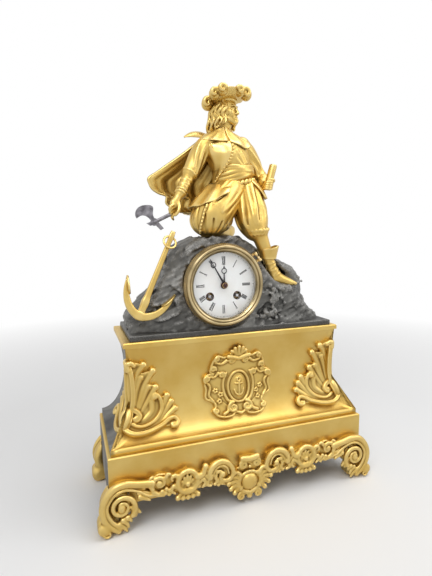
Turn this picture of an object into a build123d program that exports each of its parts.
from build123d import *

import os
from math import atan2, cos, hypot, pi, radians, sin, sqrt

# Gilt and patinated bronze mantel clock: a case on scroll feet, a rock that holds a round movement,
# and a kneeling figure above the dial. Units are millimetres. X runs to the viewer's right, Y runs to
# the back and Z runs up. The origin is on the table under the middle of the whole clock.

# Case sizes. An inset is a distance in from the plinth's edge
PLINTH_WIDTH = 330.0
PLINTH_DEPTH = 128.0
PLINTH_BOTTOM = 30.0
PLINTH_TOP = 86.0
LID_THICKNESS = 5.0
LID_OPENING = (190.0, 52.0)
STEP_INSET = 3.5
STEP_TOP = 92.5
WAIST_INSET = 35.0
WAIST_Z = 148.0
TOP_INSET = 25.5
BODY_TOP = 200.0
CORNICE_INSET = 23.3
CORNICE_TOP = 206.0
CORNICE_OPENING = (186.0, 62.0)
WALL = 4.0
EDGE_BREAK = 1.2

# Applied ornament
APRON_PROUD = 12.0
APRON_THICKNESS = 8.0
FOOT_REACH = 16.0
FOOT_DEPTH = 26.0
FOOT_INNER_X = 134.0
LEAF_BED = 2.5
LEAF_RIB = 6.5
LEAF_SCROLL = 8.0
CARTOUCHE_THICKNESS = 6.0
CARTOUCHE_Z = 147.0
BOSS_RADII = (11.5, 18.0)
BOSS_PROUD = 9.0
CABOCHON_RADII = (9.0, 10.5)
CABOCHON_Z = 30.0
CABOCHON_PROUD = 3.0

# Fasteners of the case
SCREW_RADIUS = 1.5
SCREW_HEAD_RADIUS = 3.0
SCREW_HEAD = 2.0
SCREW_LENGTH = 9.0
SCREW_X = (52.0, 96.0, 145.0)
SCREW_Z = 44.0
ROD_RADIUS = 2.5
ROD_X = 106.0
ROD_Y = (2.0, 46.0)
ROD_HOLE = 2.7
NUT_RADIUS = 5.0
NUT_HEIGHT = 4.0

# Rock and slab
SLAB_WIDTH = 268.0
SLAB_FRONT = -32.0
SLAB_BACK = 66.0
SLAB_TOP = 213.0
ROCK_FACE = -27.0
ROCK_WALL = 6.0
ROCK_SIDES = 14
ROCK_SQUARENESS = 0.5
ROCK_RUGGED = 0.03
ROCK_TWIST = 1.7

# Dial place and sizes
DIAL_X = -18.0
DIAL_Z = 266.0
DIAL_RADIUS = 44.0
DIAL_THICKNESS = 1.5
DIAL_FRONT = -27.0
BEZEL_RADIUS = 51.5
BEZEL_SIGHT = 40.0
BEZEL_BACK = -29.8
BEZEL_FLANGE = -33.5
BEZEL_FRONT = -37.8
BEAD_INNER = 42.8
SIGHT_SLOPE = 1.2
GLASS_RADIUS = 42.4
GLASS_SEAT = 41.0
GLASS_THICKNESS = 1.3
GLASS_RISE = 5.0
SEAT_INNER = 44.6
SEAT_OUTER = 50.5
SEAT_FRONT = -29.5
BORE_RADIUS = 49.0
DRUM_INNER = 44.6
DRUM_OUTER = 46.0
DRUM_BACK = 15.5
STRAP_INNER = 46.4
STRAP_THICKNESS = 1.4
STRAP_WIDTH = 9.0
HINGE_ANGLE = 38.0
HINGE_RADIUS = 55.0
HINGE_Y = -31.8
HINGE_PIN = 1.0
KNUCKLE_RADIUS = 2.2
KNUCKLE_LENGTH = 6.0
EAR_LENGTH = 3.0
HINGE_PLAY = 0.3

# Movement
PLATE_RADIUS = DRUM_INNER
PLATE_THICKNESS = 2.5
PLATE_GAP = 32.0
PLATE_INNER_Y = -18.5
RUN = 0.05
PIVOT = 0.5
ARBOR = 0.65
PILLAR_RADIUS = 2.2
PILLARS = ((-20.0, 34.0), (20.0, 34.0), (-12.0, -37.0), (12.0, -37.0))
WINDING_X = 17.8
WINDING_Z = -13.4
GREAT_TEETH = 84
CENTRE_LEAVES = 12
CENTRE_TEETH = 80
CENTRE_MODULE = 0.45
THIRD_LEAVES = 8
THIRD_TEETH = 75
THIRD_MODULE = 0.40
ESCAPE_LEAVES = 6
ESCAPE_TEETH = 36
ESCAPE_RADIUS = 9.0
ESCAPE_TOOTH = 1.3
PALLET_RISE = 11.5
PIN_WHEEL_TEETH = 72
PIN_WHEEL_MODULE = 0.40
FLY_LEAVES = 8
DRUM_RADIUS = 15.0
WINDING_RADIUS = 2.5
WINDING_SQUARE = 3.4
MOTION_DISTANCE = 12.0
CANNON_LEAVES = 12
MINUTE_TEETH = 36
MINUTE_LEAVES = 10
HOUR_TEETH = 40
HOUR_PIPE = 2.5
CANNON_PIPE = 1.6
CENTRE_ARBOR = 0.95
HAND_THICKNESS = 0.7
HOUR_HAND_Y = -29.0
MINUTE_HAND_Y = -31.0
MINUTE_LENGTH = 38.0
HOUR_LENGTH = 24.5
MINUTE_TURN = -30.0
PENDULUM_LENGTH = 160.0
PENDULUM_Y = 26.0
ROD_THICKNESS = 1.2
BOB_RADIUS = 17.0
BOB_THICKNESS = 8.0
BOB_ROUND = 2.5
CRUTCH_LENGTH = 38.0
BELL_AT = (16.0, -20.0)
BELL_RADIUS = 22.0
BELL_MOUTH_Y = 31.0
BELL_HEIGHT = 15.0
BELL_THICKNESS = 1.4
HAMMER_AT = (-10.5, 14.0)
HAMMER_DROP = 34.0
HAMMER_Y = 34.5

# Shared places worked out from the sizes above
HALF_WIDTH = PLINTH_WIDTH / 2
HALF_DEPTH = (PLINTH_DEPTH + APRON_PROUD) / 2
FRONT_Y = APRON_PROUD - HALF_DEPTH
BACK_Y = HALF_DEPTH
LID_BOTTOM = PLINTH_TOP - LID_THICKNESS
GREAT_DISTANCE = hypot(WINDING_X, WINDING_Z)
GREAT_MODULE = 2 * GREAT_DISTANCE / (GREAT_TEETH + CENTRE_LEAVES)
PLATE_BACK_Y = PLATE_INNER_Y + PLATE_GAP
CENTRE_AT = (0.0, 0.0)
GOING_AT = (WINDING_X, WINDING_Z)
STRIKE_AT = (-WINDING_X, WINDING_Z)
THIRD_DISTANCE = CENTRE_MODULE * (CENTRE_TEETH + THIRD_LEAVES) / 2
THIRD_ANGLE = radians(52.6)
THIRD_AT = (THIRD_DISTANCE * cos(THIRD_ANGLE), THIRD_DISTANCE * sin(THIRD_ANGLE))
ESCAPE_DISTANCE = THIRD_MODULE * (THIRD_TEETH + ESCAPE_LEAVES) / 2
ESCAPE_AT = (0.0, THIRD_AT[1] + sqrt(ESCAPE_DISTANCE**2 - THIRD_AT[0] ** 2))
PALLET_AT = (0.0, ESCAPE_AT[1] + PALLET_RISE)
PIN_WHEEL_ANGLE = radians(100.9)
PIN_WHEEL_AT = (
    STRIKE_AT[0] + GREAT_DISTANCE * cos(PIN_WHEEL_ANGLE),
    STRIKE_AT[1] + GREAT_DISTANCE * sin(PIN_WHEEL_ANGLE),
)
FLY_DISTANCE = PIN_WHEEL_MODULE * (PIN_WHEEL_TEETH + FLY_LEAVES) / 2
FLY_ANGLE = radians(75.5)
FLY_AT = (
    PIN_WHEEL_AT[0] + FLY_DISTANCE * cos(FLY_ANGLE),
    PIN_WHEEL_AT[1] + FLY_DISTANCE * sin(FLY_ANGLE),
)
MINUTE_AT = (0.0, -MOTION_DISTANCE)
CANNON_MODULE = 2 * MOTION_DISTANCE / (CANNON_LEAVES + MINUTE_TEETH)
HOUR_MODULE = 2 * MOTION_DISTANCE / (MINUTE_LEAVES + HOUR_TEETH)


def finish(piece, name):
    """Label a finished piece and write it."""
    piece.part.label = name
    export_step(piece.part, f"parts/{name}.step")


def front_plane(y, x=0.0, z=0.0):
    """Upright plane at depth y whose local axes are X and Z, facing the front."""
    return Plane(origin=(x, y, z), x_dir=(1, 0, 0), z_dir=(0, -1, 0))


def dial_plane(y):
    """Upright plane at depth y, centred on the dial."""
    return front_plane(y, DIAL_X, DIAL_Z)


def layer(depth):
    """Y of a level between the plates, measured back from the front plate's inner face."""
    return PLATE_INNER_Y + depth


def block(x, y, z, mode=Mode.ADD):
    """Box between two limits on each axis."""
    middle = ((x[0] + x[1]) / 2, (y[0] + y[1]) / 2, (z[0] + z[1]) / 2)
    with Locations(middle):
        Box(x[1] - x[0], y[1] - y[0], z[1] - z[0], mode=mode)


def disc(back, front, radius, at=CENTRE_AT, mode=Mode.ADD):
    """Cylinder along Y between two depths, placed from the dial's centre."""
    with BuildSketch(dial_plane(back)) as profile:
        with Locations(at):
            Circle(radius)
    extrude(profile.sketch, amount=back - front, mode=mode)


def rod_up(bottom, top, radius, at, mode=Mode.ADD):
    """Upright cylinder between two heights."""
    with BuildSketch(Plane.XY.offset(bottom)) as profile:
        with Locations(at):
            Circle(radius)
    extrude(profile.sketch, amount=top - bottom, mode=mode)


def heading(start, end):
    """Angle of the line between two points of the movement."""
    return atan2(end[1] - start[1], end[0] - start[0])


def toothed(back, front, teeth, module, at, tooth_angle):
    """Toothed disc with one tooth pointing along tooth_angle."""
    pitch = module * teeth / 2
    root = pitch - 1.25 * module
    tip = pitch + 0.85 * module
    slim = 0.75 if teeth < 12 else 1.0
    wide = slim * 0.50 * pi / teeth
    narrow = slim * 0.16 * pi / teeth
    points = []
    for tooth in range(teeth):
        middle = tooth_angle + 2 * pi * tooth / teeth
        for radius, turn in ((root, -wide), (tip, -narrow), (tip, narrow), (root, wide)):
            angle = middle + turn
            points.append((at[0] + radius * cos(angle), at[1] + radius * sin(angle)))
    with BuildSketch(dial_plane(back)) as profile:
        with BuildLine():
            Polyline(*points, close=True)
        make_face()
    extrude(profile.sketch, amount=back - front)


def bar(start, end, half_start, half_end):
    """Straight bar between two points, with a half width at each end, within a BuildSketch."""
    turn = heading(start, end)
    side = (-sin(turn), cos(turn))
    with BuildLine() as outline:
        Polyline(
            (start[0] - half_start * side[0], start[1] - half_start * side[1]),
            (start[0] + half_start * side[0], start[1] + half_start * side[1]),
            (end[0] + half_end * side[0], end[1] + half_end * side[1]),
            (end[0] - half_end * side[0], end[1] - half_end * side[1]),
            close=True,
        )
    make_face(outline.edges())


def wheel_phase(wheel_at, pinion_at):
    """Tooth direction of a wheel that meshes with a pinion."""
    return heading(wheel_at, pinion_at)


def pinion_phase(wheel_at, pinion_at, leaves):
    """Leaf direction of that pinion, so that a gap takes the wheel's tooth."""
    return heading(pinion_at, wheel_at) + pi / leaves


def limb(stations, reference=(0, 1, 0)):
    """Loft of ellipses along a bent line. A station is a centre, a half width and a half depth."""
    points = [Vector(*station[0]) for station in stations]
    sections = []
    for index, (centre, wide, deep) in enumerate(stations):
        before = points[max(index - 1, 0)]
        after = points[min(index + 1, len(points) - 1)]
        along = (after - before).normalized()
        across = along.cross(Vector(*reference)).normalized()
        with BuildSketch(Plane(origin=centre, x_dir=across, z_dir=along)) as section:
            Ellipse(wide, deep)
        sections.append(section.sketch)
    loft(sections, ruled=True)


def cavetto(edge, sense, depth, foot):
    """Hollow wall line from the step up to the cornice, set in by depth, within a BuildLine."""
    step = edge + sense * STEP_INSET
    waist = edge + sense * (WAIST_INSET + depth)
    top = edge + sense * (TOP_INSET + depth)
    start = 270 if sense > 0 else 180
    EllipticalCenterArc((step, WAIST_Z), abs(waist - step), WAIST_Z - foot, start, arc_size=90)
    TangentArc((waist, WAIST_Z), (top, BODY_TOP), tangent=(0, 1))


def wall_face(edge, sense):
    """Section of one hollow-curved wall, within a BuildSketch."""
    step = edge + sense * STEP_INSET
    top = edge + sense * TOP_INSET
    with BuildLine() as outline:
        cavetto(edge, sense, 0, STEP_TOP)
        Line((top, BODY_TOP), (top + sense * WALL, BODY_TOP))
        cavetto(edge, sense, WALL, PLINTH_TOP)
        Line((step, PLINTH_TOP), (step, STEP_TOP))
    make_face(outline.edges())


def inside_face(edge, sense, far, depth, foot):
    """Everything from a hollow-curved line to a far limit, within a BuildSketch."""
    step = edge + sense * STEP_INSET
    top = edge + sense * (TOP_INSET + depth)
    with BuildLine() as outline:
        cavetto(edge, sense, depth, foot)
        Polyline((top, BODY_TOP), (far, BODY_TOP), (far, foot), (step, foot))
    make_face(outline.edges())


def skin_face(edge, sense, thickness):
    """Section of an even layer laid on the outside of a hollow-curved wall, within a BuildSketch."""
    step = edge + sense * STEP_INSET
    top = edge + sense * TOP_INSET
    foot = STEP_TOP + thickness
    with BuildLine() as outline:
        cavetto(edge, sense, 0, STEP_TOP)
        Line((top, BODY_TOP), (top - sense * thickness, BODY_TOP))
        cavetto(edge, sense, -thickness, foot)
        Line((step, foot), (step, STEP_TOP))
    make_face(outline.edges())


os.makedirs("parts", exist_ok=True)

# Plinth
with BuildPart() as plinth_front:
    block((-HALF_WIDTH, HALF_WIDTH), (FRONT_Y, FRONT_Y + WALL), (PLINTH_BOTTOM, LID_BOTTOM))
    for side in (-1, 1):
        for screw_x in SCREW_X:
            with BuildSketch(front_plane(FRONT_Y + WALL)):
                with Locations((side * screw_x, SCREW_Z)):
                    Circle(SCREW_RADIUS)
            extrude(amount=WALL, mode=Mode.SUBTRACT)
finish(plinth_front, "plinth_front")

with BuildPart() as plinth_case:
    block((-HALF_WIDTH, HALF_WIDTH), (FRONT_Y + WALL, BACK_Y), (PLINTH_BOTTOM, LID_BOTTOM))
    block(
        (WALL - HALF_WIDTH, HALF_WIDTH - WALL),
        (FRONT_Y + WALL, BACK_Y - WALL),
        (PLINTH_BOTTOM, LID_BOTTOM),
        mode=Mode.SUBTRACT,
    )
finish(plinth_case, "plinth_case")

ROD_PLACES = [(side * ROD_X, y) for side in (-1, 1) for y in ROD_Y]
MIDDLE_Y = (ROD_Y[0] + ROD_Y[1]) / 2

with BuildPart() as plinth_lid:
    block((-HALF_WIDTH, HALF_WIDTH), (FRONT_Y, BACK_Y), (LID_BOTTOM, PLINTH_TOP))
    chamfer(plinth_lid.faces().sort_by(Axis.Z)[-1].edges(), EDGE_BREAK)
    half_x = LID_OPENING[0] / 2
    half_y = LID_OPENING[1] / 2
    block(
        (-half_x, half_x),
        (MIDDLE_Y - half_y, MIDDLE_Y + half_y),
        (LID_BOTTOM, PLINTH_TOP),
        mode=Mode.SUBTRACT,
    )
    for place in ROD_PLACES:
        rod_up(LID_BOTTOM, PLINTH_TOP, ROD_HOLE, place, Mode.SUBTRACT)
finish(plinth_lid, "plinth_lid")

# Body with hollow-curved walls, mitred at the front corners
with BuildPart() as body_front:
    with BuildSketch(Plane.YZ):
        wall_face(FRONT_Y, 1)
    extrude(amount=HALF_WIDTH, both=True)
    with BuildSketch(front_plane(BACK_Y)):
        inside_face(-HALF_WIDTH, 1, 0, 0, PLINTH_TOP)
        inside_face(HALF_WIDTH, -1, 0, 0, PLINTH_TOP)
    extrude(amount=2 * HALF_DEPTH, mode=Mode.INTERSECT)
finish(body_front, "body_front")

with BuildPart() as body_case:
    with BuildSketch(front_plane(BACK_Y)):
        wall_face(-HALF_WIDTH, 1)
        wall_face(HALF_WIDTH, -1)
    extrude(amount=PLINTH_DEPTH)
    with BuildSketch(front_plane(BACK_Y)):
        inside_face(-HALF_WIDTH, 1, 0, 0, PLINTH_TOP)
        inside_face(HALF_WIDTH, -1, 0, 0, PLINTH_TOP)
    extrude(amount=WALL)
    with BuildSketch(Plane.YZ):
        inside_face(FRONT_Y, 1, BACK_Y, WALL, PLINTH_TOP)
    extrude(amount=HALF_WIDTH, both=True, mode=Mode.INTERSECT)
finish(body_case, "body_case")

CORNICE_HALF = HALF_WIDTH - CORNICE_INSET
CORNICE_FRONT = FRONT_Y + CORNICE_INSET

with BuildPart() as cornice:
    block((-CORNICE_HALF, CORNICE_HALF), (CORNICE_FRONT, BACK_Y), (BODY_TOP, CORNICE_TOP))
    chamfer(cornice.faces().sort_by(Axis.Z)[-1].edges(), EDGE_BREAK)
    half_x = CORNICE_OPENING[0] / 2
    half_y = CORNICE_OPENING[1] / 2
    block(
        (-half_x, half_x),
        (MIDDLE_Y - half_y, MIDDLE_Y + half_y),
        (BODY_TOP, CORNICE_TOP),
        mode=Mode.SUBTRACT,
    )
    for place in ROD_PLACES:
        rod_up(BODY_TOP, CORNICE_TOP, ROD_HOLE, place, Mode.SUBTRACT)
finish(cornice, "cornice")

# Front apron between the feet, with its oval cabochon
APRON_FRONT = FRONT_Y - APRON_THICKNESS
APRON_TOP = (
    (0, 62),
    (13, 61.5),
    (20, 52),
    (27, 58),
    (36, 62.5),
    (46, 59),
    (54, 51),
    (66, 55),
    (78, 60),
    (90, 55),
    (100, 57),
    (111, 60.5),
    (121, 55),
)
APRON_UNDER = ((121, 27), (100, 30), (78, 25), (58, 29), (44, 22), (28, 12), (14, 9), (0, 7))

with BuildPart() as front_apron:
    with BuildSketch(front_plane(FRONT_Y)):
        with BuildLine():
            Spline(*APRON_TOP)
            Polyline(APRON_TOP[-1], (FOOT_INNER_X, 50), (FOOT_INNER_X, 30), APRON_UNDER[0])
            Spline(*APRON_UNDER)
            Line(APRON_UNDER[-1], APRON_TOP[0])
        make_face()
        mirror(about=Plane.YZ)
    extrude(amount=APRON_THICKNESS)
    with BuildSketch(front_plane(APRON_FRONT)):
        with Locations((0, CABOCHON_Z)):
            Ellipse(*CABOCHON_RADII)
    extrude(amount=CABOCHON_PROUD)
    for side in (-1, 1):
        for screw_x in SCREW_X[:2]:
            with BuildSketch(front_plane(FRONT_Y)):
                with Locations((side * screw_x, SCREW_Z)):
                    Circle(SCREW_RADIUS)
            extrude(amount=SCREW_LENGTH - WALL, mode=Mode.SUBTRACT)
finish(front_apron, "front_apron")

# Scroll feet. The outline is the left foot's, and the right one is its mirror image
FOOT_OUTER_X = HALF_WIDTH + FOOT_REACH
FOOT_OUTLINE = (
    (-174, 0),
    (-FOOT_OUTER_X, 12),
    (-173, 30),
    (-166, 46),
    (-154, 58),
    (-140, 53),
    (-FOOT_INNER_X, 40),
    (-140, 26),
    (-150, 14),
    (-156, 0),
)


def scroll_foot(front, back):
    """Left foot between two depths, cut to sit round the plinth's corner."""
    with BuildSketch(front_plane(back)) as profile:
        with BuildLine():
            Spline(*FOOT_OUTLINE)
            Line(FOOT_OUTLINE[-1], FOOT_OUTLINE[0])
        make_face()
    extrude(profile.sketch, amount=back - front)
    block((-HALF_WIDTH, 0), (FRONT_Y, BACK_Y), (PLINTH_BOTTOM, PLINTH_TOP), mode=Mode.SUBTRACT)


with BuildPart() as front_foot_left:
    scroll_foot(-HALF_DEPTH, FOOT_DEPTH - HALF_DEPTH)
    with BuildSketch(front_plane(FRONT_Y)):
        with Locations((-SCREW_X[2], SCREW_Z)):
            Circle(SCREW_RADIUS)
    extrude(amount=SCREW_LENGTH - WALL, mode=Mode.SUBTRACT)
finish(front_foot_left, "front_foot_left")

with BuildPart() as front_foot_right:
    add(mirror(front_foot_left.part, about=Plane.YZ, mode=Mode.PRIVATE))
finish(front_foot_right, "front_foot_right")

with BuildPart() as rear_foot_left:
    scroll_foot(BACK_Y - FOOT_DEPTH, BACK_Y)
finish(rear_foot_left, "rear_foot_left")

with BuildPart() as rear_foot_right:
    add(mirror(rear_foot_left.part, about=Plane.YZ, mode=Mode.PRIVATE))
finish(rear_foot_right, "rear_foot_right")

with BuildPart() as apron_screws:
    for side in (-1, 1):
        for screw_x in SCREW_X:
            with BuildSketch(front_plane(FRONT_Y + WALL)):
                with Locations((side * screw_x, SCREW_Z)):
                    Circle(SCREW_RADIUS)
            extrude(amount=SCREW_LENGTH)
            with BuildSketch(front_plane(FRONT_Y + WALL + SCREW_HEAD)):
                with Locations((side * screw_x, SCREW_Z)):
                    Circle(SCREW_HEAD_RADIUS)
            extrude(amount=SCREW_HEAD)
finish(apron_screws, "apron_screws")

# Leaf mounts at the front corners, on the front and on the sides: a thin bed, ribs that fan out and a
# volute. Places are given as a distance from the plinth's corner and a height
LEAF_OUTLINE = (
    (29, 184),
    (36, 186),
    (46, 178),
    (56, 168),
    (61, 151),
    (70, 138),
    (80, 127),
    (83.5, 113),
    (79, 102.5),
    (60, 101),
    (44, 97.5),
    (26, 99),
    (17.5, 108),
    (20, 121),
    (26, 130),
    (26, 160),
)
LEAF_RIBS = (
    ((31, 124), (28, 181)),
    ((32, 124), (45, 177)),
    ((36, 122), (56, 167)),
    ((40, 119), (59, 148)),
    ((53, 106), (72, 135)),
    ((50, 102), (80, 119)),
    ((40, 101), (80, 105)),
)
RIB_HALF_WIDTHS = (2.2, 3.2)
VOLUTE_PLACE = (29.5, 112)
VOLUTE_RADII = (11.5, 14)
VOLUTE_EYE = (5.5, 8)
MITRE_MARGIN = 20.0
MITRE_REACH = 150.0


def leaf_outline(corner):
    """Closed outline of a leaf mount from a corner, within a BuildSketch."""
    with BuildLine() as outline:
        Spline(*[(corner + out, z) for out, z in LEAF_OUTLINE], periodic=True)
    make_face(outline.edges())


def leaf_ribs(corner):
    """Ribs of a leaf mount that widen towards their tips, within a BuildSketch."""
    foot_half, tip_half = RIB_HALF_WIDTHS
    for (foot_out, foot_z), (tip_out, tip_z) in LEAF_RIBS:
        foot = Vector(corner + foot_out, foot_z)
        tip = Vector(corner + tip_out, tip_z)
        across = (tip - foot).normalized().rotate(Axis.Z, 90)
        with BuildLine() as outline:
            Polyline(
                foot + across * foot_half,
                tip + across * tip_half,
                tip - across * tip_half,
                foot - across * foot_half,
                close=True,
            )
        make_face(outline.edges())


def leaf_volute(corner):
    """Ring of a leaf mount's volute, within a BuildSketch."""
    with Locations((corner + VOLUTE_PLACE[0], VOLUTE_PLACE[1])):
        Ellipse(*VOLUTE_RADII)
        Ellipse(*VOLUTE_EYE, mode=Mode.SUBTRACT)


LEAF_LAYERS = ((leaf_outline, LEAF_BED), (leaf_ribs, LEAF_RIB), (leaf_volute, LEAF_SCROLL))


def leaf_layers(wall_plane, wall_edge, look_plane, corner):
    """Layers of a left leaf mount: each follows its wall and keeps what its outline covers."""
    layers = []
    for draw, thickness in LEAF_LAYERS:
        with BuildPart() as layer:
            with BuildSketch(wall_plane) as skin:
                skin_face(wall_edge, 1, thickness)
            extrude(skin.sketch, amount=PLINTH_WIDTH, both=True)
            with BuildSketch(look_plane) as cover:
                draw(corner)
            extrude(cover.sketch, amount=PLINTH_WIDTH, both=True, mode=Mode.INTERSECT)
        layers.append(layer.part)
    return layers


def mitre_side(far):
    """Keeps one side of the mitre at the left front corner, within a BuildPart."""
    outside = (-HALF_WIDTH - MITRE_MARGIN, FRONT_Y - MITRE_MARGIN)
    inside = (-HALF_WIDTH + MITRE_REACH, FRONT_Y + MITRE_REACH)
    with BuildSketch(Plane.XY) as half:
        with BuildLine() as outline:
            Polyline(outside, far, inside, close=True)
        make_face(outline.edges())
    extrude(half.sketch, amount=BODY_TOP, mode=Mode.INTERSECT)


with BuildPart() as leaf_mount_front_left:
    add(leaf_layers(Plane.YZ, FRONT_Y, front_plane(0), -HALF_WIDTH))
    mitre_side((-HALF_WIDTH + MITRE_REACH, FRONT_Y - MITRE_MARGIN))
finish(leaf_mount_front_left, "leaf_mount_front_left")

with BuildPart() as leaf_mount_side_left:
    add(leaf_layers(front_plane(0), -HALF_WIDTH, Plane.YZ, FRONT_Y))
    mitre_side((-HALF_WIDTH - MITRE_MARGIN, FRONT_Y + MITRE_REACH))
finish(leaf_mount_side_left, "leaf_mount_side_left")

with BuildPart() as leaf_mount_front_right:
    add(mirror(leaf_mount_front_left.part, about=Plane.YZ, mode=Mode.PRIVATE))
finish(leaf_mount_front_right, "leaf_mount_front_right")

with BuildPart() as leaf_mount_side_right:
    add(mirror(leaf_mount_side_left.part, about=Plane.YZ, mode=Mode.PRIVATE))
finish(leaf_mount_side_right, "leaf_mount_side_right")

# Strapwork cartouche with a polished oval boss
CARTOUCHE_OUTLINE = (
    (0, 191),
    (14, 190),
    (23, 181),
    (27, 171),
    (38, 164),
    (44, 151),
    (40, 138),
    (30, 128),
    (27, 116),
    (17, 106),
    (0, 104),
)
CARTOUCHE_FRONT = FRONT_Y + WAIST_INSET - BOSS_PROUD

with BuildPart() as cartouche:
    with BuildSketch(Plane.YZ):
        skin_face(FRONT_Y, 1, CARTOUCHE_THICKNESS)
    extrude(amount=HALF_WIDTH, both=True)
    with BuildSketch(front_plane(0)):
        with BuildLine():
            Spline(*CARTOUCHE_OUTLINE)
            Line(CARTOUCHE_OUTLINE[-1], CARTOUCHE_OUTLINE[0])
        make_face()
        mirror(about=Plane.YZ)
    extrude(amount=PLINTH_DEPTH, both=True, mode=Mode.INTERSECT)
    with BuildSketch(front_plane(CARTOUCHE_FRONT)):
        with Locations((0, CARTOUCHE_Z)):
            Ellipse(*BOSS_RADII)
    extrude(amount=CARTOUCHE_THICKNESS - BOSS_PROUD)
finish(cartouche, "cartouche")

# Rock over the case. A level is a height, a left, a right, a front and a back limit
ROCK_LEVELS = (
    (SLAB_TOP, -133, 130, -26, 64),
    (228, -134, 121, -26, 63),
    (242, -121, 113, -26, 60),
    (262, -104, 103, -26, 57),
    (284, -85, 86, -26, 53),
    (306, -79, 46, -24, 48),
    (323, -50, 16, -22, 42),
)


def rock_section(level, inset, twist):
    """Rugged closed outline of one level of the rock, set in by inset, within a BuildSketch."""
    _, left, right, front, back = level
    centre_x = (left + right) / 2
    centre_y = (front + back) / 2
    half_x = (right - left) / 2 - inset
    half_y = (back - front) / 2 - inset
    points = []
    for corner in range(ROCK_SIDES):
        angle = 2 * pi * (corner + 0.5) / ROCK_SIDES
        c = cos(angle)
        s = sin(angle)
        rough = 1 - ROCK_RUGGED * (1 + sin(5 * angle + twist))
        x = centre_x + half_x * rough * abs(c) ** ROCK_SQUARENESS * (1 if c > 0 else -1)
        y = centre_y + half_y * rough * abs(s) ** ROCK_SQUARENESS * (1 if s > 0 else -1)
        points.append((x, y))
    with BuildLine() as outline:
        Polyline(*points, close=True)
    make_face(outline.edges())


with BuildPart() as rock_form:
    for index, level in enumerate(ROCK_LEVELS):
        with BuildSketch(Plane.XY.offset(level[0])):
            rock_section(level, 0, index * ROCK_TWIST)
    loft(ruled=True)
    block((-SLAB_WIDTH / 2, SLAB_WIDTH / 2), (SLAB_FRONT, SLAB_BACK), (CORNICE_TOP, SLAB_TOP))
    disc(DRUM_BACK, ROCK_FACE, SEAT_OUTER)

with BuildPart() as rock_terrace:
    add(rock_form.part)
    for index, level in enumerate(ROCK_LEVELS):
        height = level[0] - ROCK_WALL if index else CORNICE_TOP
        with BuildSketch(Plane.XY.offset(height)):
            rock_section(level, ROCK_WALL if index else 4 * ROCK_WALL, index * ROCK_TWIST)
    loft(ruled=True, mode=Mode.SUBTRACT)
    disc(SLAB_BACK + WALL, ROCK_FACE, BORE_RADIUS, mode=Mode.SUBTRACT)
    for place in ROD_PLACES:
        rod_up(CORNICE_TOP, SLAB_TOP - 1, ROD_RADIUS, place, Mode.SUBTRACT)
finish(rock_terrace, "rock_terrace")

with BuildPart() as case_rods:
    for place in ROD_PLACES:
        rod_up(LID_BOTTOM - NUT_HEIGHT, SLAB_TOP - 1, ROD_RADIUS, place)
        rod_up(LID_BOTTOM - NUT_HEIGHT, LID_BOTTOM, NUT_RADIUS, place)
finish(case_rods, "case_rods")

# Anchor on the rock's left. Its plane holds the shank, and its normal faces the front
ANCHOR_CROWN = Vector(-119, -24, 238)
ANCHOR_TOP = Vector(-76, -14, 331)
ANCHOR_SPREAD = 28.7
ANCHOR_ARM_RISE = 31.0
ANCHOR_DEPTH = 7.0
SHANK_HALF = (3.6, 2.8)
CROWN_DROP = 4.0
CROWN_INSIDE = 7.0
PALM_WIDTH = 12.0
PALM_LENGTH = 12.0
PALM_INSET = 2.5
PALM_DROP = 5.0
PALM_HALF_THICKNESS = (1.6, 1.2)
PALM_LEAN = (0.9, 0.45)
ANCHOR_PIN_HEIGHTS = (30, 66)
ANCHOR_PIN_SIDE = 4.0
ANCHOR_PIN_RADIUS = 2.0
ANCHOR_PIN_LENGTH = 34.0
ANCHOR_PIN_HEADING = (0.55, 0.83, 0)
EYE_BORE = 20.0
ANCHOR_EYE = 7.0
EYE_RADIUS = 2.1
RING_RADIUS = 7.6
RING_WIRE = 1.3
RING_LEAN = 24.0
shank = ANCHOR_TOP - ANCHOR_CROWN
shank_length = shank.length
shank_along = shank.normalized()
anchor_across = shank_along.cross(Vector(0, -1, 0)).normalized()
anchor_normal = anchor_across.cross(shank_along).normalized()
anchor_plane = Plane(origin=ANCHOR_CROWN, x_dir=anchor_across, z_dir=anchor_normal)

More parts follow.
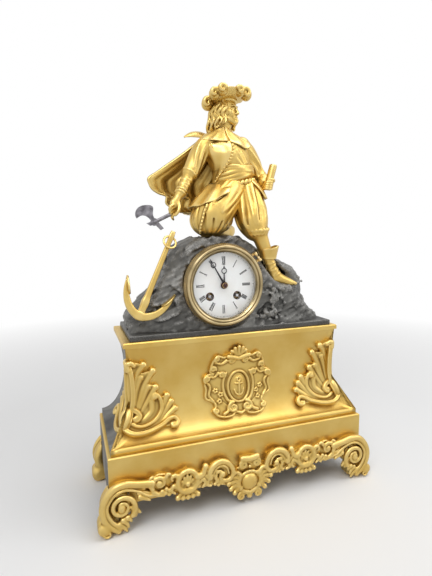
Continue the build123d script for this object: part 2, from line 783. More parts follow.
with BuildPart() as anchor:
    with BuildSketch(anchor_plane.offset(-ANCHOR_DEPTH / 2)):
        with BuildLine():
            left_tip = (-ANCHOR_SPREAD, ANCHOR_ARM_RISE)
            right_tip = (ANCHOR_SPREAD, ANCHOR_ARM_RISE)
            ThreePointArc(left_tip, (0, -CROWN_DROP), right_tip)
            ThreePointArc(right_tip, (0, CROWN_INSIDE), left_tip)
        make_face()
    extrude(amount=ANCHOR_DEPTH)
    with BuildSketch(anchor_plane.offset(-ANCHOR_DEPTH / 2)):
        with BuildLine():
            Polyline(
                (-SHANK_HALF[0], 0),
                (-SHANK_HALF[1], shank_length),
                (SHANK_HALF[1], shank_length),
                (SHANK_HALF[0], 0),
                close=True,
            )
        make_face()
    extrude(amount=ANCHOR_DEPTH)
    for side in (-1, 1):
        palm_out = side * (ANCHOR_SPREAD - PALM_INSET)
        palm_at = anchor_plane.from_local_coords((palm_out, ANCHOR_ARM_RISE - PALM_DROP, 0))
        palm_along = (shank_along * PALM_LEAN[0] + anchor_across * side * PALM_LEAN[1]).normalized()
        palm_root = palm_at - palm_along * PALM_LENGTH
        with BuildSketch(Plane(origin=palm_at, x_dir=anchor_normal, z_dir=palm_along)):
            Ellipse(PALM_WIDTH / 2, PALM_HALF_THICKNESS[0])
        with BuildSketch(Plane(origin=palm_root, x_dir=anchor_normal, z_dir=palm_along)):
            Ellipse(PALM_WIDTH / 4, PALM_HALF_THICKNESS[1])
        loft()
    eye = anchor_plane.from_local_coords((-EYE_BORE / 2, shank_length - ANCHOR_EYE, 0))
    with BuildSketch(Plane(origin=eye, x_dir=anchor_normal, z_dir=anchor_across)):
        Circle(EYE_RADIUS)
    extrude(amount=EYE_BORE, mode=Mode.SUBTRACT)
    for height in ANCHOR_PIN_HEIGHTS:
        pin_at = anchor_plane.from_local_coords((ANCHOR_PIN_SIDE, height, 0))
        with BuildSketch(Plane(origin=pin_at, x_dir=(0, 0, 1), z_dir=ANCHOR_PIN_HEADING)):
            Circle(ANCHOR_PIN_RADIUS)
        extrude(amount=ANCHOR_PIN_LENGTH)
    add(rock_form.part, mode=Mode.SUBTRACT)
finish(anchor, "anchor")

ring_lean = radians(RING_LEAN)
ring_along = anchor_normal * sin(ring_lean) - shank_along * cos(ring_lean)
ring_top = anchor_plane.from_local_coords((0, shank_length - ANCHOR_EYE, 0))
ring_plane = Plane(
    origin=ring_top + ring_along * RING_RADIUS,
    x_dir=anchor_across,
    z_dir=anchor_across.cross(ring_along),
)

with BuildPart() as anchor_ring:
    with BuildSketch(Plane(origin=ring_top, x_dir=ring_along, z_dir=anchor_across)):
        Circle(RING_WIRE)
    revolve(axis=Axis(ring_plane.origin, ring_plane.z_dir))
finish(anchor_ring, "anchor_ring")

# Figure. The pieces seat on each other where the later one is cut by the earlier one
with BuildPart() as figure_torso:
    limb(
        (
            ((17, 9, 368), 27, 19),
            ((14, 9, 386), 27, 20),
            ((11, 8, 404), 23, 17),
            ((3, 8, 426), 28, 19),
            ((-2, 10, 442), 27, 15),
            ((-5, 10, 453), 12, 11),
        )
    )
    limb((((-4, 8, 441), 26, 19), ((-5, 9.5, 452), 18, 15), ((-5.5, 10, 458), 12, 11.5)))
finish(figure_torso, "figure_torso")

with BuildPart() as figure_sash:
    limb((((12.5, 8.5, 396), 26.5, 20), ((10.5, 8, 408), 25.5, 19.5)))
    add(figure_torso.part, mode=Mode.SUBTRACT)
finish(figure_sash, "figure_sash")

with BuildPart() as figure_head:
    limb(
        (
            ((-5, 10, 450), 9, 9),
            ((-4, 9.5, 461), 9, 9),
            ((-1, 7, 468), 11, 12),
            ((0, 8, 480), 13, 14),
            ((0, 10, 492), 12, 13),
            ((0, 10, 499), 7, 8),
        )
    )
    limb((((-4, 15, 457), 15, 10), ((-3, 15, 474), 18, 14), ((-1, 13, 492), 15, 13)))
    add(figure_torso.part, mode=Mode.SUBTRACT)
finish(figure_head, "figure_head")

HAT_PLUMES = (
    ((-21, 12, 492), 9.0),
    ((-16, 9, 503), 9.0),
    ((-6, 8, 507), 8.5),
    ((12, 6, 507), 8.5),
    ((22, 4, 501), 9.5),
    ((25, 6, 493), 8.0),
)

with BuildPart() as figure_hat:
    limb((((-1, 10, 491), 20, 18), ((-1, 10, 496), 18, 17), ((-1, 10, 508), 13, 13), ((-1, 10, 513), 8, 8)))
    for centre, radius in HAT_PLUMES:
        with Locations(centre):
            Sphere(radius)
    add(figure_head.part, mode=Mode.SUBTRACT)
finish(figure_hat, "figure_hat")

with BuildPart() as figure_right_leg:
    limb(
        (
            ((4, 5, 386), 20, 18),
            ((-11, -1, 366), 23, 20),
            ((-26, -8, 348), 23, 20),
            ((-36, -12, 336), 17, 16),
            ((-40, -13, 328), 9, 9),
        )
    )
    limb(
        (
            ((-34, -8, 332), 11, 11),
            ((-12, 12, 331), 10.5, 10.5),
            ((4, 26, 330), 8, 8),
            ((14, 36, 331), 7, 9),
        ),
        reference=(0, 0, 1),
    )
    add(figure_torso.part, mode=Mode.SUBTRACT)
    add(figure_sash.part, mode=Mode.SUBTRACT)
    add(rock_form.part, mode=Mode.SUBTRACT)
finish(figure_right_leg, "figure_right_leg")

with BuildPart() as figure_left_leg:
    limb(
        (
            ((25, 8, 386), 18, 17),
            ((28, -5, 366), 18.5, 17.5),
            ((30, -17, 348), 17, 16),
            ((30.5, -21, 336), 14, 14),
            ((31, -22, 328), 9.5, 9.5),
            ((35, -21, 316), 9, 9),
            ((40, -20, 306), 8.5, 8.5),
            ((48, -19, 292), 7.5, 7.5),
            ((56, -18, 276), 6.5, 6.5),
        )
    )
    limb(
        (
            ((52, -18, 277), 7, 7),
            ((61, -18, 272), 7.5, 7.5),
            ((72, -19, 268), 5.5, 6.5),
            ((85, -20, 264), 2.5, 3.5),
        )
    )
    limb((((49, -19, 291), 8.5, 8.5), ((42, -20, 305), 13.5, 13.5)))
    add(figure_torso.part, mode=Mode.SUBTRACT)
    add(figure_sash.part, mode=Mode.SUBTRACT)
    add(figure_right_leg.part, mode=Mode.SUBTRACT)
    add(rock_form.part, mode=Mode.SUBTRACT)
finish(figure_left_leg, "figure_left_leg")

with BuildPart() as figure_right_arm:
    limb(
        (
            ((-22, 10, 441), 12, 12),
            ((-37, 9, 423), 11.5, 11.5),
            ((-48, 8, 405), 10, 10),
            ((-58, 3, 388), 9, 9),
            ((-66, -1, 374), 6, 6),
            ((-70, -2, 366), 5.5, 7),
            ((-72, -3, 357), 5.5, 7),
            ((-71, -4, 349), 3.5, 5),
        )
    )
    add(figure_torso.part, mode=Mode.SUBTRACT)
finish(figure_right_arm, "figure_right_arm")

with BuildPart() as figure_left_arm:
    limb(
        (
            ((22, 12, 441), 11, 11),
            ((37, 16, 428), 11, 11),
            ((48, 18, 408), 9.5, 9.5),
            ((53, 8, 396), 8, 8),
            ((53, 0, 391), 6, 6),
            ((53, -7, 389), 5, 5),
        ),
        reference=(1, 0, 0),
    )
    add(figure_torso.part, mode=Mode.SUBTRACT)
    add(figure_sash.part, mode=Mode.SUBTRACT)
finish(figure_left_arm, "figure_left_arm")

# Cape behind the figure, in folds that deepen towards the hem. A level is a height, a left end and a
# right end in plan
CAPE_THICKNESS = 4.0
CAPE_POINTS = 19
CAPE_FOLDS = 4.0
CAPE_BELLY = (9.0, 7.0)
CAPE_FOLD_DEPTH = (0.6, 3.0)
CAPE_FOLD_START = 0.6
CAPE_FOLD_LEAN = 0.35
CAPE_LEVELS = (
    (447, (-30, 20), (29, 18)),
    (434, (-46, 22), (37, 17)),
    (416, (-71, 26), (43, 22)),
    (398, (-96, 27), (48, 27)),
    (385, (-92, 29), (48, 29)),
    (377, (-74, 31), (47, 31)),
    (366, (-72, 32), (42, 33)),
    (357, (-56, 34), (33, 36)),
)


def cape_depth(across, down):
    """Depth of the cape behind the line between a level's ends: a belly and the folds on it."""
    swell = max(sin(pi * across), 0)
    belly = (CAPE_BELLY[0] + CAPE_BELLY[1] * down) * swell**0.8
    turn = 2 * pi * (CAPE_FOLDS * across**0.85 + CAPE_FOLD_LEAN * down) + CAPE_FOLD_START
    return belly + (CAPE_FOLD_DEPTH[0] + CAPE_FOLD_DEPTH[1] * down) * sin(turn) * swell**0.25


with BuildPart() as figure_cape:
    for height, left, right in CAPE_LEVELS:
        down = (CAPE_LEVELS[0][0] - height) / (CAPE_LEVELS[0][0] - CAPE_LEVELS[-1][0])
        inside = []
        for point in range(CAPE_POINTS):
            across = point / (CAPE_POINTS - 1)
            x = left[0] + across * (right[0] - left[0])
            y = left[1] + across * (right[1] - left[1]) + cape_depth(across, down)
            inside.append((x, y))
        outside = [(x, y + CAPE_THICKNESS) for x, y in reversed(inside)]
        with BuildSketch(Plane.XY.offset(height)):
            with BuildLine():
                Polyline(*inside, *outside, close=True)
            make_face()
    loft(ruled=True)
    add(figure_torso.part, mode=Mode.SUBTRACT)
    add(figure_right_arm.part, mode=Mode.SUBTRACT)
    add(figure_left_arm.part, mode=Mode.SUBTRACT)
    add(figure_right_leg.part, mode=Mode.SUBTRACT)
finish(figure_cape, "figure_cape")

# Boarding axe held in the right hand. The head lies in an upright plane
AXE_Y = -4.0
AXE_HEAD_THICKNESS = 3.0
AXE_SHAFT_RADIUS = 2.2
AXE_SHAFT = ((-97, AXE_Y, 342), (-71, AXE_Y, 354.5))
AXE_SOCKET_RADIUS = 4.5
AXE_BLADE = ((-95, 346), (-98, 354), (-98, 360), (-107, 362), (-115, 359), (-118.5, 353), (-117, 346.5))
AXE_BLADE_INNER = ((-117, 346.5), (-109, 350), (-101, 345))

with BuildPart() as boarding_axe:
    with BuildSketch(front_plane(AXE_Y + AXE_HEAD_THICKNESS / 2)):
        with BuildLine():
            Spline(*AXE_BLADE)
            Spline(*AXE_BLADE_INNER)
            Line(AXE_BLADE_INNER[-1], AXE_BLADE[0])
        make_face()
        with BuildLine():
            Polyline((-97, 344), (-106, 341), (-101, 338), (-96, 340), close=True)
        make_face()
        with BuildLine():
            Polyline((-97, 341), (-89, 333), (-85.5, 335), (-93, 344), close=True)
        make_face()
        with Locations((-96.5, 342.5)):
            Circle(AXE_SOCKET_RADIUS)
    extrude(amount=AXE_HEAD_THICKNESS)
    with BuildLine():
        shaft = Line(*AXE_SHAFT)
    with BuildSketch(Plane(origin=AXE_SHAFT[0], z_dir=shaft % 0)):
        Circle(AXE_SHAFT_RADIUS)
    sweep()
    add(figure_right_arm.part, mode=Mode.SUBTRACT)
    add(figure_right_leg.part, mode=Mode.SUBTRACT)
finish(boarding_axe, "boarding_axe")

SCROLL_FOOT = (50, -8, 384)
SCROLL_TOP = (59, -8, 415)
SCROLL_RADIUS = 4.2

with BuildPart() as scroll:
    with BuildLine():
        axis_line = Line(SCROLL_FOOT, SCROLL_TOP)
    with BuildSketch(Plane(origin=SCROLL_FOOT, z_dir=axis_line % 0)):
        Circle(SCROLL_RADIUS)
    sweep()
    add(figure_left_arm.part, mode=Mode.SUBTRACT)
    add(figure_left_leg.part, mode=Mode.SUBTRACT)
finish(scroll, "scroll")

# Dial with its enamel face, winding holes and feet
DIAL_BACK = DIAL_FRONT + DIAL_THICKNESS
PLATE_FRONT_Y = PLATE_INNER_Y - PLATE_THICKNESS
WINDING_HOLE = 4.2
CENTRE_HOLE = 3.2
DIAL_FOOT_RADIUS = 1.0
DIAL_FOOT_PLACES = ((0.0, 38.0), (33.0, -19.0), (-33.0, -19.0))

with BuildPart() as dial:
    disc(DIAL_BACK, DIAL_FRONT, DIAL_RADIUS)
    disc(DIAL_BACK, DIAL_FRONT, CENTRE_HOLE, mode=Mode.SUBTRACT)
    for place in (GOING_AT, STRIKE_AT):
        disc(DIAL_BACK, DIAL_FRONT, WINDING_HOLE, place, Mode.SUBTRACT)
    for place in DIAL_FOOT_PLACES:
        disc(PLATE_FRONT_Y, DIAL_BACK, DIAL_FOOT_RADIUS, place)
finish(dial, "dial")

# Seat ring with its straps and hinge ears, and the hinge pin fixed in the ears
hinge_turn = radians(HINGE_ANGLE)
hinge_out = Vector(cos(hinge_turn), 0, sin(hinge_turn))
hinge_along = Vector(-sin(hinge_turn), 0, cos(hinge_turn))
hinge_at = Vector(DIAL_X, HINGE_Y, DIAL_Z) + hinge_out * HINGE_RADIUS


def hinge_plane(shift):
    """Plane across the hinge pin, shifted along it. Its local axes point outward and to the front."""
    return Plane(origin=hinge_at + hinge_along * shift, x_dir=hinge_out, z_dir=hinge_along)


def knuckle(start, length, reach, back):
    """Rounded lug round the hinge pin, joined to a flange that reaches in towards the dial."""
    low, high = back
    with BuildSketch(hinge_plane(start)) as profile:
        Circle(KNUCKLE_RADIUS)
        with BuildLine():
            Polyline((-reach, low), (0, low), (0, high), (-reach, high), close=True)
        make_face()
    extrude(profile.sketch, amount=length)


ear_start = KNUCKLE_LENGTH / 2 + HINGE_PLAY
toward_front = hinge_plane(0).to_local_coords(hinge_at + Vector(0, -1, 0)).Y
SEAT_LEVEL = sorted(toward_front * (HINGE_Y - y) for y in (ROCK_FACE, SEAT_FRONT))
FLANGE_LEVEL = sorted(toward_front * (HINGE_Y - y) for y in (BEZEL_BACK - 0.2, BEZEL_FLANGE))
SEAT_REACH = HINGE_RADIUS - SEAT_OUTER + 1.5
FLANGE_REACH = HINGE_RADIUS - BEZEL_RADIUS + 1.5

with BuildPart() as bezel_seat:
    disc(ROCK_FACE, SEAT_FRONT, SEAT_OUTER)
    disc(ROCK_FACE, SEAT_FRONT, SEAT_INNER, mode=Mode.SUBTRACT)
    for turn in (0, 180):
        with BuildSketch(dial_plane(DRUM_BACK)):
            with Locations(Location((0, 0, 0), (0, 0, turn))):
                with Locations((STRAP_INNER + STRAP_THICKNESS / 2, 0)):
                    Rectangle(STRAP_THICKNESS, STRAP_WIDTH)
        extrude(amount=DRUM_BACK - ROCK_FACE)
    for start in (ear_start, -ear_start - EAR_LENGTH):
        with BuildSketch(hinge_plane(start)):
            with BuildLine():
                Polyline(
                    (-SEAT_REACH, SEAT_LEVEL[0]),
                    (KNUCKLE_RADIUS, SEAT_LEVEL[0]),
                    (KNUCKLE_RADIUS, SEAT_LEVEL[1]),
                    (-SEAT_REACH, SEAT_LEVEL[1]),
                    close=True,
                )
            make_face()
        extrude(amount=EAR_LENGTH)
        with BuildSketch(hinge_plane(start)):
            Circle(KNUCKLE_RADIUS)
            with Locations((0, (SEAT_LEVEL[0] + SEAT_LEVEL[1]) / 4)):
                Rectangle(2 * KNUCKLE_RADIUS, abs(SEAT_LEVEL[0] + SEAT_LEVEL[1]) / 2)
        extrude(amount=EAR_LENGTH)
    with BuildSketch(hinge_plane(-ear_start - EAR_LENGTH)):
        Circle(HINGE_PIN)
    extrude(amount=2 * (ear_start + EAR_LENGTH))
finish(bezel_seat, "bezel_seat")

with BuildPart() as bezel:
    with BuildSketch(Plane(origin=(DIAL_X, 0, DIAL_Z), x_dir=(1, 0, 0), z_dir=(0, 0, 1))):
        with BuildLine():
            Polyline(
                (BEAD_INNER, BEZEL_FLANGE),
                (GLASS_SEAT, BEZEL_FLANGE),
                (BEZEL_SIGHT, BEZEL_FLANGE + SIGHT_SLOPE),
                (BEZEL_SIGHT, BEZEL_BACK),
                (BEZEL_RADIUS, BEZEL_BACK),
                (BEZEL_RADIUS, BEZEL_FLANGE),
            )
            bead_middle = (BEAD_INNER + BEZEL_RADIUS) / 2
            ThreePointArc(
                (BEZEL_RADIUS, BEZEL_FLANGE),
                (bead_middle, BEZEL_FRONT),
                (BEAD_INNER, BEZEL_FLANGE),
            )
        make_face()
    revolve(axis=Axis((DIAL_X, 0, DIAL_Z), (0, 1, 0)))
    knuckle(-KNUCKLE_LENGTH / 2, KNUCKLE_LENGTH, FLANGE_REACH, FLANGE_LEVEL)
    with BuildSketch(hinge_plane(-KNUCKLE_LENGTH)):
        Circle(HINGE_PIN + RUN)
    extrude(amount=2 * KNUCKLE_LENGTH, mode=Mode.SUBTRACT)
finish(bezel, "bezel")

with BuildPart() as bezel_glass:
    with BuildSketch(Plane(origin=(DIAL_X, 0, DIAL_Z), x_dir=(1, 0, 0), z_dir=(0, 0, 1))):
        with BuildLine():
            edge_front = BEZEL_FLANGE - GLASS_THICKNESS
            Polyline(
                (0, edge_front - GLASS_RISE),
                (0, BEZEL_FLANGE - GLASS_RISE),
            )
            TangentArc((0, BEZEL_FLANGE - GLASS_RISE), (GLASS_SEAT, BEZEL_FLANGE), tangent=(1, 0))
            Polyline((GLASS_SEAT, BEZEL_FLANGE), (GLASS_RADIUS, BEZEL_FLANGE), (GLASS_RADIUS, edge_front))
            TangentArc((0, edge_front - GLASS_RISE), (GLASS_RADIUS, edge_front), tangent=(1, 0))
        make_face()
    revolve(axis=Axis((DIAL_X, 0, DIAL_Z), (0, 1, 0)))
finish(bezel_glass, "bezel_glass")

# Hands: a tapering blade with a pierced ring near the tip
HAND_RING = 3.6
HAND_RING_HOLE = 2.4
HAND_ROOT_HALF = 1.3
HAND_NECK_HALF = 0.7
HAND_TIP_HALF = 1.2
HAND_POINT_HALF = 0.1
HOUR_RING_AT = 17.5
HOUR_HUB = 4.6
MINUTE_RING_AT = 28.8
MINUTE_HUB = 4.0


def hand(back, length, ring_at, hub, bore, turn):
    """Flat hand turned clockwise from twelve by turn degrees, with a bore in its hub."""
    along = (sin(radians(turn)), cos(radians(turn)))

    def out(distance):
        return (along[0] * distance, along[1] * distance)

    with BuildSketch(dial_plane(back)) as profile:
        bar(CENTRE_AT, out(ring_at), HAND_ROOT_HALF, HAND_NECK_HALF)
        bar(out(ring_at), out(length), HAND_TIP_HALF, HAND_POINT_HALF)
        with Locations(out(ring_at)):
            Circle(HAND_RING)
            Circle(HAND_RING_HOLE, mode=Mode.SUBTRACT)
        Circle(hub)
        Circle(bore, mode=Mode.SUBTRACT)
    extrude(profile.sketch, amount=HAND_THICKNESS)


with BuildPart() as hour_hand:
    hand(HOUR_HAND_Y, HOUR_LENGTH, HOUR_RING_AT, HOUR_HUB, HOUR_PIPE, 0)
finish(hour_hand, "hour_hand")

with BuildPart() as minute_hand:
    hand(MINUTE_HAND_Y, MINUTE_LENGTH, MINUTE_RING_AT, MINUTE_HUB, CANNON_PIPE, MINUTE_TURN)
finish(minute_hand, "minute_hand")

# Motion work in front of the front plate
MINUTE_LEVEL = (PLATE_FRONT_Y - 0.3, PLATE_FRONT_Y - 1.5)
HOUR_LEVEL = (PLATE_FRONT_Y - 1.9, PLATE_FRONT_Y - 3.4)
HOUR_PIPE_FRONT = HOUR_HAND_Y - HAND_THICKNESS
CANNON_FRONT = MINUTE_HAND_Y - HAND_THICKNESS
MINUTE_STUD = 1.0
CANNON_NUT_RADIUS = 3.4
CANNON_NUT = 1.6
CANNON_END = 1.2

with BuildPart() as cannon_pinion:
    phase = pinion_phase(MINUTE_AT, CENTRE_AT, CANNON_LEAVES)
    toothed(*MINUTE_LEVEL, CANNON_LEAVES, CANNON_MODULE, CENTRE_AT, phase)
    disc(MINUTE_LEVEL[0], CANNON_FRONT - CANNON_END, CANNON_PIPE)
    disc(CANNON_FRONT, CANNON_FRONT - CANNON_NUT, CANNON_NUT_RADIUS)
    disc(MINUTE_LEVEL[0], CANNON_FRONT - CANNON_NUT, CENTRE_ARBOR + RUN, mode=Mode.SUBTRACT)
finish(cannon_pinion, "cannon_pinion")

with BuildPart() as minute_wheel:
    toothed(*MINUTE_LEVEL, MINUTE_TEETH, CANNON_MODULE, MINUTE_AT, wheel_phase(MINUTE_AT, CENTRE_AT))
    phase = pinion_phase(CENTRE_AT, MINUTE_AT, MINUTE_LEAVES)
    toothed(MINUTE_LEVEL[1], HOUR_LEVEL[1], MINUTE_LEAVES, HOUR_MODULE, MINUTE_AT, phase)
    disc(MINUTE_LEVEL[0], HOUR_LEVEL[1], MINUTE_STUD + RUN, MINUTE_AT, Mode.SUBTRACT)
finish(minute_wheel, "minute_wheel")

with BuildPart() as hour_wheel:
    toothed(*HOUR_LEVEL, HOUR_TEETH, HOUR_MODULE, CENTRE_AT, wheel_phase(CENTRE_AT, MINUTE_AT))
    disc(HOUR_LEVEL[0], HOUR_PIPE_FRONT, HOUR_PIPE)
    disc(HOUR_LEVEL[0], HOUR_PIPE_FRONT, CANNON_PIPE + RUN, mode=Mode.SUBTRACT)
finish(hour_wheel, "hour_wheel")

# Movement frame
ARBOR_PLACES = (CENTRE_AT, THIRD_AT, ESCAPE_AT, PALLET_AT, PIN_WHEEL_AT, FLY_AT)
PIPE_RADIUS = 3.4
PIPE_BORE = WINDING_RADIUS + RUN
BELL_STUD = 2.0
HAMMER_STUD = 1.2
BELL_CROWN_Y = BELL_MOUTH_Y + BELL_HEIGHT

with BuildPart() as movement_drum:
    disc(DRUM_BACK, ROCK_FACE, DRUM_OUTER)
    disc(DRUM_BACK, ROCK_FACE, DRUM_INNER, mode=Mode.SUBTRACT)
finish(movement_drum, "movement_drum")

with BuildPart() as front_plate:
    disc(PLATE_INNER_Y, PLATE_FRONT_Y, PLATE_RADIUS)
    for place in ARBOR_PLACES:
        disc(PLATE_INNER_Y, PLATE_FRONT_Y, PIVOT + RUN, place, Mode.SUBTRACT)
    disc(PLATE_INNER_Y, PLATE_FRONT_Y, CENTRE_ARBOR + RUN, CENTRE_AT, Mode.SUBTRACT)
    for place in (GOING_AT, STRIKE_AT):
        disc(PLATE_INNER_Y, PLATE_FRONT_Y, WINDING_RADIUS + RUN, place, Mode.SUBTRACT)
    disc(PLATE_FRONT_Y, HOUR_LEVEL[1] - 0.2, MINUTE_STUD, MINUTE_AT)
finish(front_plate, "front_plate")

with BuildPart() as back_plate:
    disc(PLATE_BACK_Y + PLATE_THICKNESS, PLATE_BACK_Y, PLATE_RADIUS)
    for place in ARBOR_PLACES:
        disc(PLATE_BACK_Y + PLATE_THICKNESS, PLATE_BACK_Y, PIVOT + RUN, place, Mode.SUBTRACT)
    disc(PLATE_BACK_Y + PLATE_THICKNESS, PLATE_BACK_Y, WINDING_RADIUS + RUN, GOING_AT, Mode.SUBTRACT)
    disc(PLATE_BACK_Y + PLATE_THICKNESS, PLATE_BACK_Y, PIPE_RADIUS + RUN, STRIKE_AT, Mode.SUBTRACT)
    disc(BELL_CROWN_Y, PLATE_BACK_Y + PLATE_THICKNESS, BELL_STUD, BELL_AT)
    disc(HAMMER_Y + 2, PLATE_BACK_Y + PLATE_THICKNESS, HAMMER_STUD, HAMMER_AT)
finish(back_plate, "back_plate")

with BuildPart() as plate_pillars:
    for place in PILLARS:
        disc(PLATE_BACK_Y, PLATE_INNER_Y, PILLAR_RADIUS, place)
finish(plate_pillars, "plate_pillars")

# Barrels and their winding arbors
GOING_WHEEL = (layer(19), layer(17))
STRIKE_WHEEL = (layer(4), layer(2))
DRUM_SPAN = (layer(16.3), layer(4.7))
COUNT_WHEEL = (PLATE_BACK_Y + PLATE_THICKNESS + 2.0, PLATE_BACK_Y + PLATE_THICKNESS + 0.8)
COUNT_RADIUS = 13.0

with BuildPart() as going_barrel:
    toothed(*GOING_WHEEL, GREAT_TEETH, GREAT_MODULE, GOING_AT, wheel_phase(GOING_AT, CENTRE_AT))
    disc(GOING_WHEEL[1], DRUM_SPAN[1], DRUM_RADIUS, GOING_AT)
    disc(GOING_WHEEL[0], DRUM_SPAN[1], PIPE_BORE, GOING_AT, Mode.SUBTRACT)
finish(going_barrel, "going_barrel")

with BuildPart() as strike_barrel:
    toothed(*STRIKE_WHEEL, GREAT_TEETH, GREAT_MODULE, STRIKE_AT, wheel_phase(STRIKE_AT, PIN_WHEEL_AT))
    disc(DRUM_SPAN[0], STRIKE_WHEEL[0], DRUM_RADIUS, STRIKE_AT)
    disc(COUNT_WHEEL[0], DRUM_SPAN[0], PIPE_RADIUS, STRIKE_AT)
    disc(*COUNT_WHEEL, COUNT_RADIUS, STRIKE_AT)
    disc(COUNT_WHEEL[0], STRIKE_WHEEL[1], PIPE_BORE, STRIKE_AT, Mode.SUBTRACT)
finish(strike_barrel, "strike_barrel")


def winding_arbor(at, back):
    """Plain arbor through a barrel, with a square at the front for the key."""
    disc(back, PLATE_FRONT_Y, WINDING_RADIUS, at)
    with BuildSketch(dial_plane(PLATE_FRONT_Y)) as profile:
        with Locations(at):
            Rectangle(WINDING_SQUARE, WINDING_SQUARE)
    extrude(profile.sketch, amount=PLATE_FRONT_Y - DIAL_FRONT)


with BuildPart() as going_arbor:
    winding_arbor(GOING_AT, PLATE_BACK_Y + PLATE_THICKNESS)
finish(going_arbor, "going_arbor")

with BuildPart() as strike_arbor:
    winding_arbor(STRIKE_AT, COUNT_WHEEL[0] + 1)
finish(strike_arbor, "strike_arbor")


def train_arbor(at, front, back):
    """Arbor between the plates with a thin pivot at each end."""
    disc(back, front, PIVOT, at)
    disc(layer(PLATE_GAP - 0.3), layer(0.3), ARBOR, at)


PLATE_OUTER_BACK = PLATE_BACK_Y + PLATE_THICKNESS

# Going train
with BuildPart() as centre_wheel:
    toothed(
        layer(19.3),
        layer(16.7),
        CENTRE_LEAVES,
        GREAT_MODULE,
        CENTRE_AT,
        pinion_phase(GOING_AT, CENTRE_AT, CENTRE_LEAVES),
    )
    toothed(
        layer(22.5),
        layer(21),
        CENTRE_TEETH,
        CENTRE_MODULE,
        CENTRE_AT,
        wheel_phase(CENTRE_AT, THIRD_AT),
    )
    train_arbor(CENTRE_AT, layer(0), PLATE_OUTER_BACK)
    disc(layer(1), CANNON_FRONT - CANNON_NUT, CENTRE_ARBOR)
finish(centre_wheel, "centre_wheel")

with BuildPart() as third_wheel:
    toothed(
        layer(23),
        layer(20.5),
        THIRD_LEAVES,
        CENTRE_MODULE,
        THIRD_AT,
        pinion_phase(CENTRE_AT, THIRD_AT, THIRD_LEAVES),
    )
    toothed(
        layer(26.3),
        layer(25),
        THIRD_TEETH,
        THIRD_MODULE,
        THIRD_AT,
        wheel_phase(THIRD_AT, ESCAPE_AT),
    )
    train_arbor(THIRD_AT, PLATE_FRONT_Y, PLATE_OUTER_BACK)
finish(third_wheel, "third_wheel")

# Escape wheel and pallets. The pallet nibs stand in gaps between the escape teeth
ESCAPE_LEVEL = (layer(28.8), layer(27.8))
ESCAPE_STEP = 2 * pi / ESCAPE_TEETH
NIB_ANGLES = (radians(90 - 40), radians(90 + 50))
NIB_GAP = 0.35
NIB_HALF = 0.3
NIB_REACH = 3.0
ARM_HALF = 0.9
PALLET_HUB = 2.0

with BuildPart() as escape_wheel:
    phase = pinion_phase(THIRD_AT, ESCAPE_AT, ESCAPE_LEAVES)
    toothed(layer(26.8), layer(24.6), ESCAPE_LEAVES, THIRD_MODULE, ESCAPE_AT, phase)
    points = []
    for tooth in range(ESCAPE_TEETH):
        middle = NIB_ANGLES[0] + (tooth + 0.5) * ESCAPE_STEP
        root = ESCAPE_RADIUS - ESCAPE_TOOTH
        for radius, turn in ((root, -0.22), (ESCAPE_RADIUS, -0.06), (ESCAPE_RADIUS, 0.06), (root, 0.22)):
            angle = middle + turn * ESCAPE_STEP
            points.append((ESCAPE_AT[0] + radius * cos(angle), ESCAPE_AT[1] + radius * sin(angle)))
    with BuildSketch(dial_plane(ESCAPE_LEVEL[0])):
        with BuildLine():
            Polyline(*points, close=True)
        make_face()
    extrude(amount=ESCAPE_LEVEL[0] - ESCAPE_LEVEL[1])
    train_arbor(ESCAPE_AT, PLATE_FRONT_Y, PLATE_OUTER_BACK)
finish(escape_wheel, "escape_wheel")

CRUTCH_Y = PLATE_OUTER_BACK + 3.0
CRUTCH_HALF = 0.9
FORK_PAST = 2.5
FORK_HALF = ROD_THICKNESS + 0.3
FORK_WIRE = 0.8


def beside_escape(angle, gap):
    """Point at an angle round the escape wheel, a gap outside its teeth."""
    reach = ESCAPE_RADIUS + gap
    return (ESCAPE_AT[0] + reach * cos(angle), ESCAPE_AT[1] + reach * sin(angle))


with BuildPart() as pallets:
    with BuildSketch(dial_plane(ESCAPE_LEVEL[0])):
        for angle in NIB_ANGLES:
            elbow = beside_escape(angle, NIB_REACH)
            bar(PALLET_AT, elbow, ARM_HALF, ARM_HALF)
            bar(elbow, beside_escape(angle, NIB_GAP), ARM_HALF, NIB_HALF)
            with Locations(elbow):
                Circle(ARM_HALF)
        with Locations(PALLET_AT):
            Circle(PALLET_HUB)
    extrude(amount=ESCAPE_LEVEL[0] - ESCAPE_LEVEL[1])
    train_arbor(PALLET_AT, PLATE_FRONT_Y, CRUTCH_Y + CRUTCH_HALF)
    with BuildSketch(dial_plane(CRUTCH_Y + CRUTCH_HALF)):
        with Locations((PALLET_AT[0], PALLET_AT[1] - CRUTCH_LENGTH / 2)):
            Rectangle(2 * CRUTCH_HALF, CRUTCH_LENGTH + 2 * CRUTCH_HALF)
        with Locations((PALLET_AT[0], PALLET_AT[1] - CRUTCH_LENGTH)):
            Rectangle(2 * (FORK_HALF + FORK_WIRE), 2 * CRUTCH_HALF)
    extrude(amount=2 * CRUTCH_HALF)
    for side in (-1, 1):
        with BuildSketch(dial_plane(PENDULUM_Y + FORK_PAST)):
            with Locations((side * (FORK_HALF + FORK_WIRE / 2), PALLET_AT[1] - CRUTCH_LENGTH)):
                Rectangle(FORK_WIRE, 2 * CRUTCH_HALF)
        extrude(amount=PENDULUM_Y + FORK_PAST - CRUTCH_Y)
finish(pallets, "pallets")

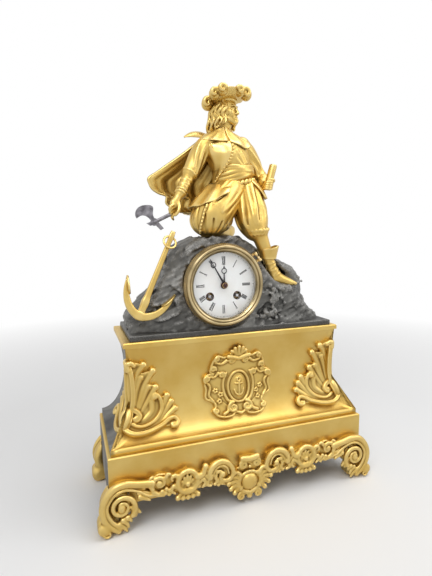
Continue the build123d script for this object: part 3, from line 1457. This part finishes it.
# Striking train
with BuildPart() as pin_wheel:
    toothed(
        layer(4.5),
        layer(1.5),
        CENTRE_LEAVES,
        GREAT_MODULE,
        PIN_WHEEL_AT,
        pinion_phase(STRIKE_AT, PIN_WHEEL_AT, CENTRE_LEAVES),
    )
    toothed(
        layer(20),
        layer(18.6),
        PIN_WHEEL_TEETH,
        PIN_WHEEL_MODULE,
        PIN_WHEEL_AT,
        wheel_phase(PIN_WHEEL_AT, FLY_AT),
    )
    train_arbor(PIN_WHEEL_AT, PLATE_FRONT_Y, PLATE_OUTER_BACK)
finish(pin_wheel, "pin_wheel")

FLY_HALF = 6.5
FLY_BLADE = 0.6
FLY_LENGTH = 11.0

with BuildPart() as fly:
    phase = pinion_phase(PIN_WHEEL_AT, FLY_AT, FLY_LEAVES)
    toothed(layer(20.6), layer(18), FLY_LEAVES, PIN_WHEEL_MODULE, FLY_AT, phase)
    train_arbor(FLY_AT, PLATE_FRONT_Y, PLATE_OUTER_BACK)
    with BuildSketch(dial_plane(layer(15))):
        with Locations(FLY_AT):
            Rectangle(2 * FLY_HALF, FLY_BLADE)
    extrude(amount=FLY_LENGTH)
finish(fly, "fly")

# Bell on its stud and the hammer that strikes its rim
with BuildPart() as bell:
    bell_plane = Plane(
        origin=(DIAL_X + BELL_AT[0], 0, DIAL_Z + BELL_AT[1]), x_dir=(1, 0, 0), z_dir=(0, 0, 1)
    )
    inner_crown = BELL_CROWN_Y - BELL_THICKNESS
    with BuildSketch(bell_plane):
        with BuildLine():
            Line((BELL_STUD, BELL_CROWN_Y), (BELL_STUD, inner_crown))
            TangentArc(
                (BELL_STUD, inner_crown),
                (BELL_RADIUS - BELL_THICKNESS, BELL_MOUTH_Y),
                tangent=(1, 0),
            )
            Line((BELL_RADIUS - BELL_THICKNESS, BELL_MOUTH_Y), (BELL_RADIUS, BELL_MOUTH_Y))
            TangentArc((BELL_STUD, BELL_CROWN_Y), (BELL_RADIUS, BELL_MOUTH_Y), tangent=(1, 0))
        make_face()
    revolve(axis=Axis(bell_plane.origin, (0, 1, 0)))
finish(bell, "bell")

HAMMER_HEAD_RADIUS = 3.2
HAMMER_HUB = 2.6
HAMMER_HUB_HALF = 1.5
HAMMER_ARM = (2.0, 1.6)
HAMMER_HEAD_HALF = 3.0

with BuildPart() as hammer:
    head_at = (HAMMER_AT[0], HAMMER_AT[1] - HAMMER_DROP)
    disc(HAMMER_Y + HAMMER_HUB_HALF, HAMMER_Y - HAMMER_HUB_HALF, HAMMER_HUB, HAMMER_AT)
    with BuildSketch(dial_plane(HAMMER_Y + HAMMER_ARM[1] / 2)):
        with Locations((HAMMER_AT[0], HAMMER_AT[1] - HAMMER_DROP / 2)):
            Rectangle(HAMMER_ARM[0], HAMMER_DROP)
    extrude(amount=HAMMER_ARM[1])
    disc(HAMMER_Y + HAMMER_HEAD_HALF, HAMMER_Y - HAMMER_HEAD_HALF, HAMMER_HEAD_RADIUS, head_at)
    disc(HAMMER_Y + HAMMER_HUB_HALF, HAMMER_Y - HAMMER_HUB_HALF, HAMMER_STUD + RUN, HAMMER_AT, Mode.SUBTRACT)
finish(hammer, "hammer")

# Suspension cock with its spring, and the pendulum that hangs from it
SPRING_WIDTH = 3.0
COCK_FOOT = 2.5
COCK_FOOT_RISE = 1.8
SPRING_THICKNESS = 0.3
COCK_Z = (PALLET_AT[1] + 5.0, PALLET_AT[1] + 10.0)
COCK_HALF = 5.0
PENDULUM_PLAY = 0.4

with BuildPart() as suspension_cock:
    block(
        (DIAL_X - COCK_HALF, DIAL_X + COCK_HALF),
        (PLATE_OUTER_BACK + COCK_FOOT, PENDULUM_Y + SPRING_WIDTH),
        (DIAL_Z + COCK_Z[0], DIAL_Z + COCK_Z[1]),
    )
    block(
        (DIAL_X - COCK_HALF, DIAL_X + COCK_HALF),
        (PLATE_OUTER_BACK, PLATE_OUTER_BACK + COCK_FOOT),
        (DIAL_Z + PALLET_AT[1] + COCK_FOOT_RISE, DIAL_Z + COCK_Z[1]),
    )
    block(
        (DIAL_X - SPRING_THICKNESS / 2, DIAL_X + SPRING_THICKNESS / 2),
        (PENDULUM_Y - SPRING_WIDTH / 2, PENDULUM_Y + SPRING_WIDTH / 2),
        (DIAL_Z + PALLET_AT[1] + PENDULUM_PLAY, DIAL_Z + COCK_Z[0]),
    )
finish(suspension_cock, "suspension_cock")

BOB_AT = (0.0, PALLET_AT[1] - PENDULUM_LENGTH)
PENDULUM_TOP = DIAL_Z + PALLET_AT[1]

with BuildPart() as pendulum:
    rod_up(DIAL_Z + BOB_AT[1], PENDULUM_TOP, ROD_THICKNESS, (DIAL_X, PENDULUM_Y))
    disc(PENDULUM_Y + BOB_THICKNESS / 2, PENDULUM_Y - BOB_THICKNESS / 2, BOB_RADIUS, BOB_AT)
    fillet(pendulum.edges().filter_by(GeomType.CIRCLE).sort_by(SortBy.LENGTH)[-2:], BOB_ROUND)
finish(pendulum, "pendulum")
